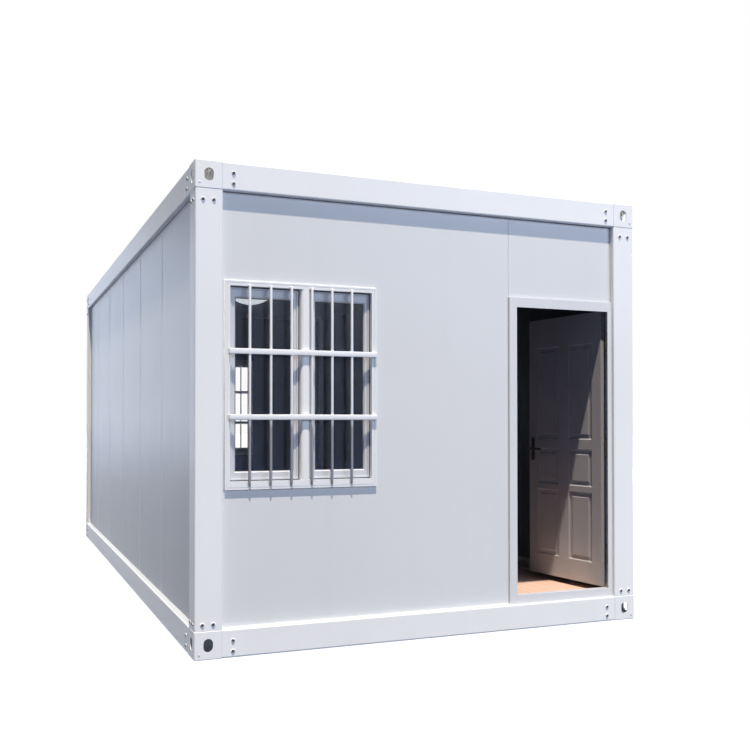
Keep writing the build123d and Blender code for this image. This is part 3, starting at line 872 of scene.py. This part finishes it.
def screw_part(radius, height):
    """A small domed screw head."""
    shares = ((1.0, 0.0), (1.0, 0.3), (0.85, 0.7), (0.5, 0.95), (0.2, 1.0))
    return lathe([(radius * r, height * h) for r, h in shares], 18)


def plate_part(wide, tall, thick, corner):
    """A thin plate with round corners and a soft outer edge, its back at height 0."""
    soft = min(0.0012, thick / 2)
    rings = []
    for height, inset in ((0.0, 0.0), (thick - soft, 0.0), (thick - soft * 0.3, soft * 0.3), (thick, soft)):
        outline = rounded_section(wide - 2 * inset, tall - 2 * inset, corner - inset, 6)
        rings.append([(a, b, height) for a, b in outline])
    return loft(rings)


def handle_part():
    """A lever on its neck and back plate, with a lock cylinder and two screws."""
    made = Shape()
    made.add(plate_part(*handle_plate))
    made.add(lathe([
        (0.0130, 0.0055), (0.0130, 0.0075), (0.0118, 0.0088), (0.0092, 0.0095), (0.0090, 0.0210),
    ], 28))
    rings = []
    for x, tall, thick in ((-0.0090, 0.0070, 0.0040), (-0.0082, 0.0120, 0.0080), (-0.0050, 0.0165, 0.0112),
                           (0.0020, 0.0180, 0.0120), (0.0350, 0.0170, 0.0112), (0.0750, 0.0158, 0.0104),
                           (0.1020, 0.0152, 0.0100), (0.1070, 0.0130, 0.0080), (0.1090, 0.0070, 0.0040)):
        outline = rounded_section(tall, thick, thick * 0.48, 5)
        rings.append([(x, a, lever_stand + b) for a, b in outline])
    made.add(loft(rings))
    below = Matrix.Translation((0.0, -lock_drop, 0.0))
    made.add(lathe([
        (0.0110, 0.0055), (0.0110, 0.0072), (0.0100, 0.0080), (0.0086, 0.0084), (0.0084, 0.0098),
        (0.0076, 0.0104),
    ], 28), below)
    for y in (-handle_screw_reach, handle_screw_reach):
        made.add(screw_part(*handle_screw), Matrix.Translation((0.0, y, handle_screw_seat)))
    return made.points, made.faces


def door_furniture():
    """Handles with their keyways, screws and finials of the hinges, and the latch and strike plates."""
    steel = Shape()
    dark = Shape()
    handle = handle_part()
    turn = opened()
    z = leaf_foot + handle_share * (leaf_head - leaf_foot)
    slit = rounded_section(0.0015, 0.0072, 0.0006)
    key = run(slit, (0.0, -lock_drop, 0.0100), (0.0, -lock_drop, 0.0107), (1, 0, 0), (0, 1, 0))
    for y, outward in ((leaf_front, -1), (leaf_back, 1)):
        side = turn @ facing((leaf_left + handle_backset, y, z), (0, outward, 0))
        if outward > 0:
            side = side @ Matrix.Scale(-1.0, 4, (1.0, 0.0, 0.0))
        steel.add(handle, side)
        dark.add(key, side)
    furniture = make_piece("door_lever_handles", steel, finishes["hardware_steel"], "door")
    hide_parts("door_handle")
    make_piece("door_keyways", dark, gasket_black, "door")

    screws = Shape()
    finials = Shape()
    for share in hinge_shares:
        middle = leaf_foot + share * (leaf_head - leaf_foot)
        for step in (-hinge_screw_step, 0.0, hinge_screw_step):
            spot = (leaf_right - hinge_screw_inset, leaf_back + hinge_plate_proud, middle + step)
            screws.add(screw_part(*hinge_screw), turn @ facing(spot, (0, 1, 0)))
        for end in (-1, 1):
            cap = facing((hinge_x, hinge_y, middle + end * hinge_length / 2), (0, 0, end))
            finials.add(screw_part(knuckle_radius * finial_share, finial_height), cap)
    latch_place = facing((leaf_left, (leaf_front + leaf_back) / 2, z), (-1, 0, 0))
    screws.add(plate_part(*latch_plate), turn @ latch_place)
    strike_place = facing((leaf_left - latch_gap, (leaf_front + leaf_back) / 2, z), (1, 0, 0))
    finials.add(plate_part(*strike_plate), strike_place)
    make_piece("door_leaf_fittings", screws, finishes["hardware_steel"], "door")
    make_piece("door_frame_fittings", finials, finishes["hardware_steel"], "house")


def door_seal():
    """A soft seal on the back of the stop, along both jambs and the head."""
    seal = Shape()
    section = rounded_section(door_seal_wide, door_seal_thick, door_seal_corner)
    depth = stop_back + door_seal_thick / 2
    foot = leaf_foot + door_seal_rise
    head = opening_top + door_seal_reach
    for x in (opening_left - door_seal_lap, opening_right + door_seal_lap):
        seal.add(run(section, (x, depth, foot), (x, depth, head), (1, 0, 0), (0, 1, 0)))
    z = opening_top + door_seal_lap
    start = (opening_left - door_seal_reach, depth, z)
    end = (opening_right + door_seal_reach, depth, z)
    seal.add(run(section, start, end, (0, 0, 1), (0, 1, 0)))
    make_piece("door_seal", seal, gasket_black)


frame_fasteners()
wall_seals()
room_linings()
door_furniture()
door_seal()
for end_name, window_place in window_places():
    window_trim(end_name, window_place)
    window_bars(end_name, window_place)


# Studio

def studio_floor():
    """A floor, pale to the camera and in reflections, that takes the shadow and sends little light back."""
    mesh = bpy.data.meshes.new("studio_floor")
    corners = [(-floor_reach, -floor_reach, 0.0), (floor_reach, -floor_reach, 0.0),
               (floor_reach, floor_reach, 0.0), (-floor_reach, floor_reach, 0.0)]
    mesh.from_pydata(corners, [], [(0, 1, 2, 3)])
    floor = bpy.data.objects.new("studio_floor", mesh)
    floor.location.z = -floor_drop
    scene.collection.objects.link(floor)
    material, tree, shader = new_material("studio_floor")
    tree.nodes.remove(shader)
    shown = node(tree, "ShaderNodeBsdfDiffuse", {"Color": floor_seen}).outputs[0]
    light = {"Color": floor_glow, "Strength": floor_glow_strength}
    glow = node(tree, "ShaderNodeEmission", light).outputs[0]
    pale = node(tree, "ShaderNodeAddShader", {0: shown, 1: glow}).outputs[0]
    plain = node(tree, "ShaderNodeBsdfDiffuse", {"Color": floor_unseen}).outputs[0]
    surface = node(tree, "ShaderNodeMixShader", {0: seen_rays(tree), 1: plain, 2: pale}).outputs[0]
    tree.links.new(surface, tree.nodes["Material Output"].inputs["Surface"])
    mesh.materials.append(material)


def seen_rays(tree):
    """1 for rays from the camera, and for reflected and refracted ones."""
    rays = node(tree, "ShaderNodeLightPath").outputs
    seen = math_node(tree, "MAXIMUM", rays["Is Camera Ray"], rays["Is Glossy Ray"])
    return math_node(tree, "MAXIMUM", seen, rays["Is Transmission Ray"])


def studio_world():
    """Soft bluish light, brighter near the horizon, behind a white backdrop."""
    world = bpy.data.worlds.new("studio_world")
    scene.world = world
    world.use_nodes = True
    tree = world.node_tree
    light = tree.nodes["Background"]
    direction = node(tree, "ShaderNodeTexCoord").outputs["Generated"]
    rise = node(tree, "ShaderNodeSeparateXYZ", {"Vector": direction}).outputs["Z"]
    height = spread(tree, rise, 0.0, 0.75, 0.0, 1.0)
    tree.links.new(mix(tree, height, sky_low, sky_high), light.inputs["Color"])
    white = node(tree, "ShaderNodeBackground", {"Color": (1.0, 1.0, 1.0, 1.0)}).outputs[0]
    surface = node(tree, "ShaderNodeMixShader", {0: seen_rays(tree), 1: light.outputs[0], 2: white})
    tree.links.new(surface.outputs[0], tree.nodes["World Output"].inputs["Surface"])


def lamp(name, kind, place, aim, **settings):
    """A light that points from its place at its aim."""
    data = bpy.data.lights.new(name, kind)
    for key, value in settings.items():
        setattr(data, key, value)
    made = bpy.data.objects.new(name, data)
    made.location = place
    made.rotation_euler = (Vector(aim) - Vector(place)).to_track_quat("-Z", "Y").to_euler()
    scene.collection.objects.link(made)
    return made


def studio_camera():
    """The photograph's view."""
    data = bpy.data.cameras.new("camera")
    data.lens = camera_lens
    data.sensor_width = camera_sensor
    data.shift_x, data.shift_y = camera_shift
    camera = bpy.data.objects.new("camera", data)
    camera.location = camera_place
    camera.rotation_euler = (math.radians(90.0 + camera_pitch), 0.0, math.radians(camera_heading))
    scene.collection.objects.link(camera)
    scene.camera = camera


studio_floor()
studio_world()
sun_place = Vector(sun_direction) * sun_distance
lamp("sun", "SUN", sun_place, (0.0, 0.0, 0.0), energy=sun_strength, color=sun_colour,
     angle=math.radians(sun_angle))
for softbox, stand, target, (wide, tall), power, tint in softboxes:
    lamp(softbox, "AREA", stand, target, shape="RECTANGLE", size=wide, size_y=tall, energy=power, color=tint)
studio_camera()
scene.view_settings.view_transform = "Standard"
